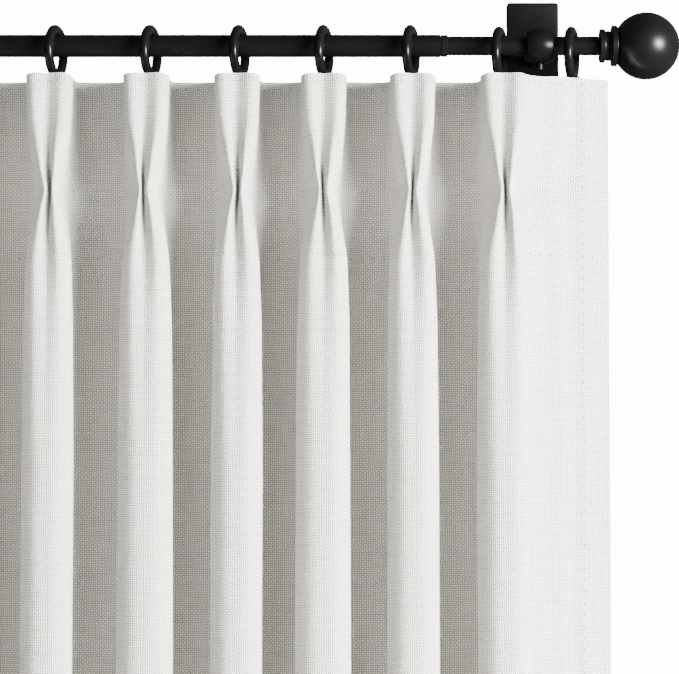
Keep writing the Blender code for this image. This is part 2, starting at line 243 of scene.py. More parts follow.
for side, sign in SIDES:
    node = f"{side}_cover_plate"
    low, high = (Vector(corner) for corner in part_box(node))
    size = high - low
    begin()
    bpy.ops.mesh.primitive_cube_add(size=1, location=(low + high) / 2)
    plate = bpy.context.object
    plate.name = f"{side}_plate"
    plate.scale = size
    bpy.ops.object.transform_apply(location=True, rotation=True, scale=True)
    front, back = low.y, high.y
    pick(plate, "EDGE", lambda ends: abs(ends[0].y - ends[1].y) > size.y / 2)
    bpy.ops.mesh.bevel(offset=PLATE_CORNER, segments=6, affect="EDGES")
    pick(plate, "EDGE", lambda ends: all(abs(end.y - front) < 1e-5 for end in ends))
    bpy.ops.mesh.bevel(offset=PLATE_EDGE, segments=4, affect="EDGES")
    pick(plate, "FACE", lambda corners: all(abs(corner.y - back) < 1e-5 for corner in corners))
    bpy.ops.mesh.delete(type="ONLY_FACE")
    bpy.ops.object.mode_set(mode="OBJECT")
    wall = plate.modifiers.new("steel", "SOLIDIFY")
    wall.thickness = PLATE_STEEL
    wall.offset = -1
    drill(plate, (low + high) / 2, (0, 1, 0), ARM_HOLE_RADIUS, 4 * size.y, sides=48)
    settle(plate)
    give(plate, BLACK_PAINT)
    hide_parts(node)
    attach(plate, "root")


# Arms, rod holders and lock screws. The arm is a turned steel bar with a foot, the holder is a
# barrel cast round the rod, and a small screw under it pins the rod. All are painted satin black.
def turn_on_lathe(name, place, along, stations, sides=64, hollow=False):
    """A turned piece, from rings of (distance along the axis, radius); hollow ones close on themselves."""
    along = Vector(along)
    place = Vector(place)
    begin()
    start, radius = stations[0]
    bpy.ops.mesh.primitive_circle_add(
        vertices=sides,
        radius=radius,
        fill_type="NOTHING" if hollow else "NGON",
        location=place + along * start,
        rotation=Vector((0, 0, 1)).rotation_difference(along).to_euler(),
    )
    piece = bpy.context.object
    piece.name = name
    bpy.ops.object.transform_apply(location=True, rotation=True, scale=True)
    bpy.ops.object.mode_set(mode="EDIT")
    bpy.ops.mesh.select_mode(type="VERT")
    bpy.ops.mesh.select_all(action="SELECT")
    at, wide = start, radius
    for distance, radius in stations[1:]:
        step = along * (distance - at)
        bpy.ops.mesh.extrude_region_move(TRANSFORM_OT_translate={"value": step})
        grow = radius / wide
        bpy.ops.transform.resize(value=(grow, grow, grow), center_override=place + along * distance)
        at, wide = distance, radius
    bpy.ops.mesh.select_all(action="SELECT")
    bpy.ops.mesh.remove_doubles(threshold=0.000001)
    bpy.ops.mesh.normals_make_consistent(inside=False)
    bpy.ops.object.mode_set(mode="OBJECT")
    return settle(piece)


def soften(piece, width, segments=3):
    """Break a piece's sharp edges with a small round."""
    begin()
    piece.select_set(True)
    edge = piece.modifiers.new("edge", "BEVEL")
    edge.width = width
    edge.segments = segments
    edge.limit_method = "ANGLE"
    edge.angle_limit = math.radians(32)
    apply_all(piece)
    settle(piece)


def arc(start, end, steps):
    return [start + (end - start) * i / steps for i in range(steps + 1)]


FOOT_THICK = 0.003
FOOT_RADIUS = 0.009
STUD_RADIUS = 0.003
HOLDER_BULGE = 0.0030
BORE_FIT = 0.0004
SCREW_SHANK = 0.0022
DRILL_FIT = 0.00012

for side, sign in SIDES:
    low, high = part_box(f"{side}_arm")
    x = middle_of(f"{side}_arm").x
    reach = high[1] - low[1]
    shoulder = reach - 0.0045
    bar = turn_on_lathe(
        f"{side}_arm_bar",
        (x, high[1], 0),
        (0, -1, 0),
        [
            (0, FOOT_RADIUS),
            (FOOT_THICK, FOOT_RADIUS),
            (FOOT_THICK + 0.0008, 0.0062),
            (FOOT_THICK + 0.002, 0.0055),
            (shoulder - 0.003, 0.0055),
            (shoulder - 0.0022, 0.0048),
            (shoulder, 0.0048),
            (shoulder, STUD_RADIUS),
            (reach, STUD_RADIUS),
        ],
        48,
    )
    soften(bar, 0.0003)
    give(bar, BLACK_PAINT)
    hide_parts(f"{side}_arm")
    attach(bar, "root")

    low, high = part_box(f"{side}_rod_holder")
    centre = middle_of(f"{side}_rod_holder")
    half = (high[0] - low[0]) / 2
    widest = (high[2] - low[2]) / 2
    tube = f"{'outer' if sign < 0 else 'inner'}_tube"
    tube_radius = (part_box(tube)[1][2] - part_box(tube)[0][2]) / 2
    bore = tube_radius + BORE_FIT
    curve = (half**2 + HOLDER_BULGE**2) / (2 * HOLDER_BULGE)
    lip = 0.0007
    rings = [(-half, bore + lip), (-half, widest - HOLDER_BULGE - lip)]
    for angle in arc(-1, 1, 20):
        distance = (half - lip) * angle
        rings.append((distance, widest - curve + math.sqrt(curve**2 - distance**2)))
    rings += [(half, widest - HOLDER_BULGE - lip), (half, bore + lip), (half - lip, bore)]
    rings += [(lip - half, bore), (-half, bore + lip)]
    holder = turn_on_lathe(f"{side}_barrel", centre, (1, 0, 0), rings, 72, hollow=True)
    screw_at = middle_of(f"{side}_lock_screw")
    drill(holder, (screw_at.x, screw_at.y, screw_at.z), (0, 0, 1), SCREW_SHANK + DRILL_FIT, widest)
    shell = widest - bore
    drill(holder, (x, centre.y + bore + shell / 2, 0), (0, 1, 0), STUD_RADIUS + DRILL_FIT, shell + 0.004)
    settle(holder)
    give(holder, BLACK_PAINT)
    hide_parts(f"{side}_rod_holder")
    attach(holder, "root")

    low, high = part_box(f"{side}_lock_screw")
    centre = middle_of(f"{side}_lock_screw")
    head = (high[0] - low[0]) / 2
    length = high[2] - low[2]
    screw = turn_on_lathe(
        f"{side}_thumb_screw",
        (centre.x, centre.y, high[2]),
        (0, 0, -1),
        [
            (0, 0.0018),
            (0.0006, SCREW_SHANK),
            (length - 0.0052, SCREW_SHANK),
            (length - 0.0050, head - 0.0003),
            (length - 0.0047, head),
            (length - 0.0006, head),
            (length, head - 0.0007),
            (length, 0.0018),
            (length - 0.0008, 0.0016),
        ],
        40,
    )
    # knurling: every other row of the head's side is drawn in a little
    for corner in screw.data.vertices:
        across = corner.co - Vector((centre.x, centre.y, corner.co.z))
        if across.length > head - 0.0002:
            around = math.atan2(across.y, across.x)
            corner.co -= across.normalized() * 0.0003 * (round(around / math.tau * 40) % 2)
    give(screw, BLACK_PAINT)
    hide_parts(f"{side}_lock_screw")
    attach(screw, f"{side}_lock")


# The rod. A thin steel tube slides inside a wider one, and a plastic collar closes the wider one's
# mouth. Tube ends are turned smooth, and the paint is a satin black with a soft sheen.
BLACK_SHEEN = (0.0036, 0.0036, 0.0039)
TUBE_PAINT = metal_finish(
    "satin_black_tube", BLACK, BLACK_SHEEN, 0.28, 0.03, 0.0, 40, 1600, 0.00003, gloss=0.24
)
PLASTIC_DARK, PLASTIC_LIGHT = (0.0026, 0.0026, 0.0026), (0.0046, 0.0046, 0.0046)
COLLAR_PLASTIC = metal_finish(
    "black_collar_plastic", PLASTIC_DARK, PLASTIC_LIGHT, 0.26, 0.04, 0.0, 120, 2200, 0.00003, gloss=0.30
)
OUTER_WALL = 0.0008
INNER_WALL = 0.0010
COLLAR_WALL = 0.00085


def tube_piece(name, node, wall, body, material, lip=0.0003):
    low, high = (Vector(corner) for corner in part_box(node))
    outside = (high.z - low.z) / 2
    length = high.x - low.x
    inside = outside - wall
    rings = [
        (0, inside + lip / 2),
        (0, outside - lip),
        (lip, outside),
        (length - lip, outside),
        (length, outside - lip),
        (length, inside + lip / 2),
        (length - lip, inside),
        (lip, inside),
        (0, inside + lip / 2),
    ]
    axis_y = (low.y + high.y) / 2
    piece = turn_on_lathe(name, (low.x, axis_y, (low.z + high.z) / 2), (1, 0, 0), rings, 96, hollow=True)
    give(piece, material)
    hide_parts(node)
    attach(piece, body)


tube_piece("rod_outer", "outer_tube", OUTER_WALL, "root", TUBE_PAINT)
tube_piece("rod_inner", "inner_tube", INNER_WALL, "inner_rod", TUBE_PAINT)
tube_piece("rod_collar", "tube_collar", COLLAR_WALL, "root", COLLAR_PLASTIC, lip=0.0005)


# Finials. The neck is turned in one piece: a spigot for the tube, a flange, a waist with a fine
# ridge, and a cup that the ball sits in. The ball is spun steel on a stud, painted like the rest.
BALL_PAINT = metal_finish(
    "satin_black_ball", BLACK, BLACK_SHEEN, 0.32, 0.03, 0.0, 50, 1500, 0.00003, gloss=0.42
)
NECK_FLANGE = 0.0042
WAIST = 0.0058
CUP = 0.0045
FLANGE_RADIUS = 0.01425
WAIST_RADIUS = 0.0124
RIDGE = 0.0007
BALL_STUD_RADIUS = 0.0030
BALL_STUD_LENGTH = 0.009
STUD_FIT = 0.0003
SPIGOT_FIT = 0.0003

for side, sign in SIDES:
    neck_low, neck_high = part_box(f"{side}_finial_neck")
    ball_low, ball_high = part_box(f"{side}_finial_ball")
    cup_radius = (neck_high[2] - neck_low[2]) / 2
    ball_radius = (ball_high[2] - ball_low[2]) / 2
    neck_end = neck_high[0] if sign > 0 else neck_low[0]
    flange_face = neck_end - sign * (NECK_FLANGE + WAIST + CUP)
    spigot = abs(neck_end - (neck_low[0] if sign > 0 else neck_high[0])) - NECK_FLANGE - WAIST - CUP
    tube = "inner_tube" if sign > 0 else "outer_tube"
    wall = INNER_WALL if sign > 0 else OUTER_WALL
    spigot_radius = (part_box(tube)[1][2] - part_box(tube)[0][2]) / 2 - wall - SPIGOT_FIT
    cup_start = NECK_FLANGE + WAIST
    seat = (cup_radius + WAIST_RADIUS) / 2
    ridge_at = NECK_FLANGE + WAIST / 2
    axis_y = middle_of("outer_tube").y
    neck = turn_on_lathe(
        f"{side}_neck",
        (flange_face, axis_y, 0),
        (sign, 0, 0),
        [
            (-spigot, spigot_radius - 0.0008),
            (0.0008 - spigot, spigot_radius),
            (0, spigot_radius),
            (0, FLANGE_RADIUS),
            (NECK_FLANGE, FLANGE_RADIUS),
            (NECK_FLANGE, WAIST_RADIUS),
            (ridge_at - RIDGE, WAIST_RADIUS),
            (ridge_at, WAIST_RADIUS + RIDGE),
            (ridge_at + RIDGE, WAIST_RADIUS),
            (cup_start, WAIST_RADIUS),
            (cup_start, cup_radius),
            (cup_start + CUP, cup_radius),
            (cup_start + CUP, BALL_STUD_RADIUS + STUD_FIT),
            (cup_start + CUP - BALL_STUD_LENGTH, BALL_STUD_RADIUS + STUD_FIT),
        ],
        96,
    )
    soften(neck, 0.0016, 6)
    give(neck, BALL_PAINT)
    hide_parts(f"{side}_finial_neck")
    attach(neck, f"{side}_finial")

    to_seat = math.sqrt(ball_radius**2 - seat**2)
    far = ball_high[0] if sign > 0 else ball_low[0]
    middle_x = far - sign * ball_radius
    rings = [(-to_seat - BALL_STUD_LENGTH, BALL_STUD_RADIUS), (-to_seat, BALL_STUD_RADIUS)]
    for angle in arc(-math.asin(to_seat / ball_radius), math.radians(89), 44):
        rings.append((ball_radius * math.sin(angle), ball_radius * math.cos(angle)))
    ball = turn_on_lathe(f"{side}_ball", (middle_x, axis_y, 0), (sign, 0, 0), rings, 96)
    give(ball, BALL_PAINT)
    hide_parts(f"{side}_finial_ball")
    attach(ball, f"{side}_finial")


# Rings. Each is bent from round steel wire and welded shut, with a small wire eyelet welded to its
# bottom for the hook, and painted satin black. They hang on the rod by their inner top.
RING_DARK, RING_LIGHT = (0.0020, 0.0020, 0.0022), (0.0040, 0.0040, 0.0043)
RING_PAINT = metal_finish(
    "satin_black_ring", RING_DARK, RING_LIGHT, 0.24, 0.04, 0.0, 150, 1800, 0.00003, gloss=0.30
)
RING_WIRE = 0.008
RING_BORE = 0.030
EYE_WIRE = 0.003
EYE_OD = 0.0185
EYE_LET_IN = 0.0055
RING_TURN = math.radians(13)
STATIONS = ("return", "1", "2", "3", "4", "5", "6", "7", "lead")


def make_ring():
    """One ring about the origin, in the YZ plane, its eyelet below it facing the room."""
    begin()
    bpy.ops.mesh.primitive_torus_add(
        major_segments=80,
        minor_segments=24,
        major_radius=(RING_BORE + RING_WIRE) / 2,
        minor_radius=RING_WIRE / 2,
        rotation=(0, math.pi / 2, 0),
    )
    wire = bpy.context.object
    eye_height = -(RING_BORE / 2 + RING_WIRE) + EYE_LET_IN - EYE_OD / 2
    bpy.ops.mesh.primitive_torus_add(
        major_segments=40,
        minor_segments=12,
        major_radius=(EYE_OD - EYE_WIRE) / 2,
        minor_radius=EYE_WIRE / 2,
        rotation=(math.pi / 2, 0, 0),
        location=(0, 0, eye_height),
    )
    eye = bpy.context.object
    bead_height = -(RING_BORE / 2 + RING_WIRE) + 0.0004
    beads = []
    for across in (-1, 1):
        bpy.ops.mesh.primitive_uv_sphere_add(
            segments=16, ring_count=10, radius=0.0022, location=(across * 0.0042, 0, bead_height + 0.0012)
        )
        bead = bpy.context.object
        bead.scale = (1.1, 0.9, 0.8)
        beads.append(bead)
    begin()
    for piece in (wire, eye, *beads):
        piece.select_set(True)
    bpy.context.view_layer.objects.active = wire
    bpy.ops.object.join()
    return settle(wire, 60)


pattern = make_ring()
for side, sign in SIDES:
    for station in STATIONS:
        node = f"{side}_ring_{station}"
        low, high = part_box(node)
        centre = middle_of(node)
        ring = pattern.copy()
        ring.data = pattern.data.copy()
        ring.name = f"{side}_wire_ring_{station}"
        bpy.context.scene.collection.objects.link(ring)
        ring.rotation_euler = (0, 0, -sign * RING_TURN)
        ring.location = (centre.x, centre.y, high[2] - RING_BORE / 2 - RING_WIRE)
        settle(ring, 60)
        give(ring, RING_PAINT)
        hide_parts(node)
        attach(ring, f"{side}_{station}")
bpy.data.objects.remove(pattern, do_unlink=True)


# Drapery hooks. Each is bent from bright steel wire: its sharp leg stands upright behind the header,
# free of the cloth, and its open end goes back through the ring's eyelet and hooks down behind it.
HOOK_STEEL = metal_finish(
    "bright_hook_wire", (0.55, 0.55, 0.54), (0.75, 0.75, 0.73), 0.25, 0.06, 1.0, 200, 2400, 0.00002
)
HOOK_WIRE = 0.0016
LEG_BEHIND = 0.0035
SHANK_BEHIND = 0.0075
cloth_low, cloth_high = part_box("right_return_edge")
CLOTH_Y = (cloth_low[1] + cloth_high[1]) / 2
CLOTH_TOP = cloth_high[2]
HEM = cloth_low[2]

for side, sign in SIDES:
    for station in STATIONS:
        low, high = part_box(f"{side}_ring_{station}")
        centre = middle_of(f"{side}_ring_{station}")
        eye_bottom = low[2] + EYE_WIRE
        leg = CLOTH_Y + LEG_BEHIND
        shank = CLOTH_Y + SHANK_BEHIND
        route = [
            (leg, CLOTH_TOP - 0.022),
            (leg, CLOTH_TOP - 0.040),
            (leg, CLOTH_TOP - 0.058),
            (leg + 0.0012, CLOTH_TOP - 0.0622),
            (shank - 0.0008, CLOTH_TOP - 0.0622),
            (shank, CLOTH_TOP - 0.058),
            (shank, CLOTH_TOP - 0.035),
            (shank, eye_bottom - 0.002),
            (shank + 0.0012, eye_bottom + 0.0012),
            (centre.y, eye_bottom + 0.0014),
            (centre.y + 0.0034, eye_bottom - 0.0006),
            (centre.y + 0.0044, eye_bottom - 0.006),
            (centre.y + 0.0044, eye_bottom - 0.015),
        ]
        begin()
        path = bpy.data.curves.new(f"{side}_hook_{station}", "CURVE")
        path.dimensions = "3D"
        path.bevel_depth = HOOK_WIRE / 2
        path.bevel_resolution = 3
        path.use_fill_caps = True
        path.resolution_u = 6
        spline = path.splines.new("NURBS")
        spline.points.add(len(route) - 1)
        spline.order_u = 4
        spline.use_endpoint_u = True
        for point, (y, z) in zip(spline.points, route):
            point.co = (centre.x, y, z, 1)
        hook = bpy.data.objects.new(f"{side}_hook_{station}", path)
        bpy.context.scene.collection.objects.link(hook)
        hook.select_set(True)
        bpy.context.view_layer.objects.active = hook
        bpy.ops.object.convert(target="MESH")
        bpy.ops.object.mode_set(mode="EDIT")
        bpy.ops.mesh.select_all(action="SELECT")
        bpy.ops.mesh.remove_doubles(threshold=0.000005)
        bpy.ops.object.mode_set(mode="OBJECT")
        hook = settle(bpy.context.object, 50)
        give(hook, HOOK_STEEL)
        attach(hook, f"{side}_{station}")


# The two panels. Each is one width of coarse off-white linen-look cloth, gathered by seven sewn
# two-finger pleats, with a stiffened header, turned side hems and a bottom hem. Below the pleats
# the folds open into round columns with flat cloth between them. It is cut into strips at the
# pleats' middles, each strip named for the two rings that it hangs between.
DROP = CLOTH_TOP - HEM
HEADER = 0.148
BOTTOM_HEM = 0.090
SIDE_HEM = 0.024
CLOTH_THICK = 0.0011
TURNING = 0.0009
PINCH = 0.096
# half of a pleat's plan at heights below the top: (across from its crease, out from the flat cloth)
FOLD = (
    (0.000, ((0, 0.0462), (0.0045, 0.0474), (0.0112, 0.0496), (0.0170, 0.0468), (0.0188, 0.038),
             (0.0180, 0.014), (0.0196, 0.0020), (0.0260, 0))),
    (0.040, ((0, 0.0448), (0.0042, 0.0469), (0.0100, 0.0496), (0.0156, 0.0462), (0.0175, 0.036),
             (0.0170, 0.014), (0.0194, 0.0022), (0.0260, 0))),
    (0.066, ((0, 0.0438), (0.0030, 0.0461), (0.0068, 0.0490), (0.0114, 0.0440), (0.0146, 0.031),
             (0.0158, 0.013), (0.0190, 0.0024), (0.0260, 0))),
    (0.082, ((0, 0.0392), (0.0021, 0.0430), (0.0052, 0.0478), (0.0084, 0.0418), (0.0122, 0.028),
             (0.0150, 0.012), (0.0184, 0.0026), (0.0260, 0))),
    (0.096, ((0, 0.0340), (0.0004, 0.0402), (0.0026, 0.0464), (0.0060, 0.0395), (0.0106, 0.026),
             (0.0142, 0.012), (0.0180, 0.0028), (0.0260, 0))),
    (0.110, ((0, 0.0394), (0.0021, 0.0432), (0.0052, 0.0478), (0.0088, 0.0418), (0.0124, 0.028),
             (0.0148, 0.012), (0.0182, 0.0026), (0.0260, 0))),
    (0.126, ((0, 0.0425), (0.0028, 0.0456), (0.0070, 0.0490), (0.0120, 0.0438), (0.0150, 0.031),
             (0.0156, 0.012), (0.0186, 0.0022), (0.0260, 0))),
    (0.150, ((0, 0.0452), (0.0044, 0.0476), (0.0100, 0.0498), (0.0162, 0.0448), (0.0187, 0.032),
             (0.0170, 0.012), (0.0188, 0.0018), (0.0260, 0))),
    (0.200, ((0, 0.0490), (0.0055, 0.0501), (0.0116, 0.0498), (0.0184, 0.0435), (0.0207, 0.031),
             (0.0172, 0.011), (0.0184, 0.0015), (0.0260, 0))),
    (0.320, ((0, 0.0512), (0.0064, 0.0510), (0.0128, 0.0485), (0.0198, 0.0415), (0.0216, 0.029),
             (0.0172, 0.010), (0.0180, 0.0015), (0.0260, 0))),
    (0.900, ((0, 0.0525), (0.0068, 0.0518), (0.0136, 0.0490), (0.0208, 0.0415), (0.0226, 0.028),
             (0.0176, 0.010), (0.0182, 0.0015), (0.0260, 0))),
    (2.200, ((0, 0.0535), (0.0074, 0.0525), (0.0146, 0.0490), (0.0220, 0.0405), (0.0238, 0.027),
             (0.0182, 0.009), (0.0186, 0.0015), (0.0270, 0))),
)
TAKEN_UP = 0.0472  # the cloth that half a pleat takes up, beyond its width along the rod
SMOOTHING = 0.006  # the plan is averaged over this height either way
PER_SPAN = 3  # mesh columns between two points of the plan
FLAT_COLUMNS = 6


def rows_below_top():
    """Distances below the top of the mesh's rows: close in the header, wider below."""
    rows = [0.0, 0.0008]
    for stop, step in ((0.160, 0.0032), (0.330, 0.0062), (DROP - BOTTOM_HEM - 0.004, 0.0125)):
        count = max(1, round((stop - rows[-1]) / step))
        start = rows[-1]
        rows += [start + (stop - start) * (i + 1) / count for i in range(count)]
    rows += [DROP - BOTTOM_HEM - 0.0004, DROP - BOTTOM_HEM + 0.0004]
    start = rows[-1]
    rows += [start + (DROP - 0.0008 - start) * (i + 1) / 9 for i in range(9)]
    rows += [DROP]
    rows += [HEADER - 0.0004, HEADER + 0.0004]
    return np.array(sorted(rows))


ROWS = rows_below_top()


def smooth_through(points):
    """A Catmull-Rom curve through a row of points, mirrored about the crease at its start."""
    points = np.asarray(points)
    first = points[1] * (-1, 1)
    last = points[-1] + (0.01, 0)
    points = np.vstack((first, points, last))
    out = []
    for i in range(1, len(points) - 2):
        a, b, c, d = points[i - 1 : i + 3]
        for t in np.arange(PER_SPAN) / PER_SPAN:
            bend = (2 * a - 5 * b + 4 * c - d) * t**2 + (3 * b - a - 3 * c + d) * t**3
            out.append(0.5 * (2 * b + (c - a) * t + bend))
    out.append(points[-2])
    return np.array(out)


def half_fold(row):
    """The half pleat's plan at one height, as (across, out) points from the crease to the flat cloth."""
    heights = [height for height, _ in FOLD]
    plans = np.array([plan for _, plan in FOLD])
    flat = plans.reshape(len(plans), -1)
    mixed = np.zeros(flat.shape[1])
    for shift, weight in ((-1, 0.25), (0, 0.5), (1, 0.25)):
        at = max(0.0, row + shift * SMOOTHING)
        mixed += weight * np.array([np.interp(at, heights, flat[:, k]) for k in range(flat.shape[1])])
    plan = smooth_through(mixed.reshape(-1, 2))
    # cloth is as wide at every height, so the fold is drawn deeper or shallower until it takes up its share
    shallow, deep = 0.5, 1.6
    for _ in range(40):
        depth = (shallow + deep) / 2
        steps = np.diff(plan * (1, depth), axis=0)
        if np.hypot(steps[:, 0], steps[:, 1]).sum() - plan[-1, 0] < TAKEN_UP:
            shallow = depth
        else:
            deep = depth
    return plan * (1, depth)


HALF_FOLDS = [half_fold(row) for row in ROWS]


def sway(row, pleat, scale):
    """How far a column has wandered sideways at a height: nothing at the header, more below."""
    free = max(0.0, row - HEADER) / (DROP - HEADER)
    wave = math.sin(2.1 * pleat + 5.0 * free) + 0.6 * math.sin(4.7 * pleat + 11.0 * free + 1.0)
    return scale * wave * free**0.7


CORNER_DROP = 0.0016
CORNER_FADE = 0.006
LEAN = 0.0021
LEAN_REACH = 0.013  # how far from the crease a pleat's lean dies out
RETURN_EDGE_OUT = 0.012  # how far the return's edge stands out from the flat cloth
SWAY = 0.0016


def lean(row, pleat, across):
    """How far sideways the stitcher's hand pulled a crease: each pleat folds over a little, its own way."""
    at_tack = math.exp(-(((row - PINCH) / 0.045) ** 2))
    turn = math.sin(2.7 * pleat + 0.6 + 26.0 * (row - PINCH))
    return LEAN * turn * at_tack * max(0.0, 1 - across / LEAN_REACH) ** 2


def panel_surface(sign, centres, outer, lead):
    """Points of a whole panel, row by row, from its return edge to its lead edge, and strip limits."""
    grid = []
    for row, half in zip(ROWS, HALF_FOLDS):
        points = []
        limits = []
        folds = []
        for i, centre in enumerate(centres):
            fat = 1 + 0.035 * math.sin(3.3 * i + 1.1) * min(1.0, row / 0.3)
            deep = 1 + 0.03 * math.sin(5.1 * i + 0.4)
            folds.append((centre + sign * sway(row, i, SWAY), fat, deep))
        # the return: the first pleat's outer finger runs on as flat cloth, sloping back to the edge
        centre, fat, deep = folds[0]
        tip = half[: 3 * PER_SPAN + 1]
        edge = abs(outer - centre)
        shoulder = tip[-1] * (fat, deep)
        away = [shoulder[0] + (edge - SIDE_HEM - shoulder[0]) * f for f in arc(0, 1, 10)[1:]]
        away += [edge - SIDE_HEM + 0.0006]
        away += [edge - SIDE_HEM + (SIDE_HEM - 0.0008) * f for f in arc(0, 1, 4)[1:]] + [edge]
        back = []
        for across in away:
            f = (across - shoulder[0]) / (edge - shoulder[0])
            out = shoulder[1] + (RETURN_EDGE_OUT - shoulder[1]) * (f**0.85)
            wave = 0.0009 * math.sin(19.0 * f + 1.5 * row) * math.sin(math.pi * f)
            back.append((centre + sign * across, out - 0.0012 * math.sin(math.pi * f) + wave))
        points += back[::-1]
        points += [
            (centre + sign * across * fat + lean(row, 0, across), out * deep) for across, out in tip[::-1]
        ]
        limits.append(len(points) - 1)
        for i in range(len(centres) - 1):
            near, near_fat, near_deep = folds[i]
            far, far_fat, far_deep = folds[i + 1]
            start = [(near - sign * a * near_fat + lean(row, i, a), o * near_deep) for a, o in half]
            stop = [(far + sign * a * far_fat + lean(row, i + 1, a), o * far_deep) for a, o in half[::-1]]
            points += start[1:]
            gap = stop[0][0] - start[-1][0]
            for f in arc(0, 1, FLAT_COLUMNS)[1:-1]:
                points.append((start[-1][0] + gap * f, -0.0015 * math.sin(math.pi * f)))
            points += stop
            limits.append(len(points) - 1)
        centre, fat, deep = folds[-1]
        last = len(centres) - 1
        start = [(centre - sign * a * fat + lean(row, last, a), o * deep) for a, o in half]
        points += start[1:]
        rest = abs(lead - start[-1][0])
        flat = [(rest - SIDE_HEM) * f for f in arc(0, 1, 7)[1:]] + [rest - SIDE_HEM + 0.0006]
        flat += [rest - SIDE_HEM + (SIDE_HEM - 0.0008) * f for f in arc(0, 1, 4)[1:]] + [rest]
        points += [(start[-1][0] - sign * a, 0.0006 * math.sin(math.pi * a / rest)) for a in flat]
        grid.append([(x, CLOTH_Y - out, CLOTH_TOP - row) for x, out in points])
    grid = np.array(grid)
    limits = [0, *limits, grid.shape[1] - 1]
    # the turned top edge is a little lower where it goes round the pleats' outer corners
    near_top = CORNER_DROP * np.exp(-ROWS / CORNER_FADE)
    for crease in limits[1:-1]:
        for way in (-1, 1):
            away = np.arange(grid.shape[1]) - (crease + way * (4 * PER_SPAN - 1))
            grid[:, :, 2] -= near_top[:, None] * np.exp(-((away / PER_SPAN) ** 2))[None, :]
    return grid, limits


def surface_normals(grid, sign):
    """Unit normals of the cloth's face side, worked out over the whole panel so that strips agree."""
    across = np.gradient(grid, axis=1)
    down = np.gradient(grid, axis=0)
    normals = np.cross(across, down) * sign
    return normals / np.maximum(np.linalg.norm(normals, axis=2, keepdims=True), 1e-12)


def cloth_coordinates(grid):
    """Where each mesh column lies on the flat cloth, in metres from the return edge."""
    steps = np.linalg.norm(np.diff(grid[:, :, :2], axis=1), axis=2)
    return np.concatenate(([0.0], np.cumsum(steps.mean(axis=0))))


# the weave: chunky threads over and under each other, with slubs where the yarn is thicker
THREAD_PITCH = 0.00175
STITCH = 0.0095
TOP_STITCH = 0.0060
PIT_RADIUS = 0.0011


def maths(tree, operation, first, second=None):
    made = tree.nodes.new("ShaderNodeMath")
    made.operation = operation
    for socket, value in zip(made.inputs, (first, second)):
        if isinstance(value, bpy.types.NodeSocket):
            tree.links.new(value, socket)
        elif value is not None:
            socket.default_value = value
    return made.outputs[0]


def weave_group():
    """Plain weave on the cloth's own coordinates: thread tone, slub tone and height."""
    group = bpy.data.node_groups.new("linen_weave", "ShaderNodeTree")
    group.interface.new_socket("Cloth", in_out="INPUT", socket_type="NodeSocketVector")
    group.interface.new_socket("Pitch", in_out="INPUT", socket_type="NodeSocketFloat")
    for name in ("Height", "Over", "Slub"):
        group.interface.new_socket(name, in_out="OUTPUT", socket_type="NodeSocketFloat")
    given = group.nodes.new("NodeGroupInput")
    result = group.nodes.new("NodeGroupOutput")
    cloth = given.outputs["Cloth"]
    wobble = add_node(group, "ShaderNodeTexNoise", {"Vector": cloth, "Scale": 190.0, "Detail": 3.0})
    shift = add_node(
        group,
        "ShaderNodeVectorMath",
        {0: wobble.outputs["Color"], 1: (0.0019, 0.0019, 0.0)},
        operation="MULTIPLY",
    )
    bent = add_node(group, "ShaderNodeVectorMath", {0: cloth, 1: shift.outputs[0]}, operation="ADD")
    parts = add_node(group, "ShaderNodeSeparateXYZ", {"Vector": bent.outputs[0]})
    waves = []
    for axis in ("X", "Y"):
        turns = maths(group, "DIVIDE", parts.outputs[axis], given.outputs["Pitch"])
        waves.append(maths(group, "SINE", maths(group, "MULTIPLY", turns, math.pi)))
    cell = maths(group, "MULTIPLY", waves[0], waves[1])
    height = maths(group, "POWER", maths(group, "ABSOLUTE", cell), 0.65)
    over = maths(group, "ADD", maths(group, "MULTIPLY", cell, 0.5), 0.5)
    slubs = []
    for stretch in ((26.0, 620.0, 1.0), (620.0, 26.0, 1.0)):
        drawn = add_node(group, "ShaderNodeVectorMath", {0: cloth, 1: stretch}, operation="MULTIPLY")
        slubs.append(
            add_node(
                group,
                "ShaderNodeTexNoise",
                {"Vector": drawn.outputs[0], "Scale": 1.0, "Detail": 3.0, "Roughness": 0.55},
            ).outputs["Fac"]
        )
    slub = maths(group, "MULTIPLY", maths(group, "ADD", slubs[0], slubs[1]), 0.5)
    group.links.new(height, result.inputs["Height"])
    group.links.new(over, result.inputs["Over"])
    group.links.new(slub, result.inputs["Slub"])
    return group


def pits(tree, along, across, offset):
    """A soft spot at every stitch of one seam: 1 in the pit, 0 on the cloth around it."""
    turns = maths(tree, "DIVIDE", along, STITCH)
    share = maths(tree, "SUBTRACT", maths(tree, "FRACT", turns), 0.5)
    run = maths(tree, "MULTIPLY", share, STITCH)
    side = maths(tree, "SUBTRACT", across, offset)
    square = maths(tree, "ADD", maths(tree, "MULTIPLY", run, run), maths(tree, "MULTIPLY", side, side))
    share = maths(tree, "DIVIDE", maths(tree, "SQRT", square), PIT_RADIUS)
    left = maths(tree, "SUBTRACT", 1.0, share)
    return maths(tree, "MAXIMUM", left, 0.0)


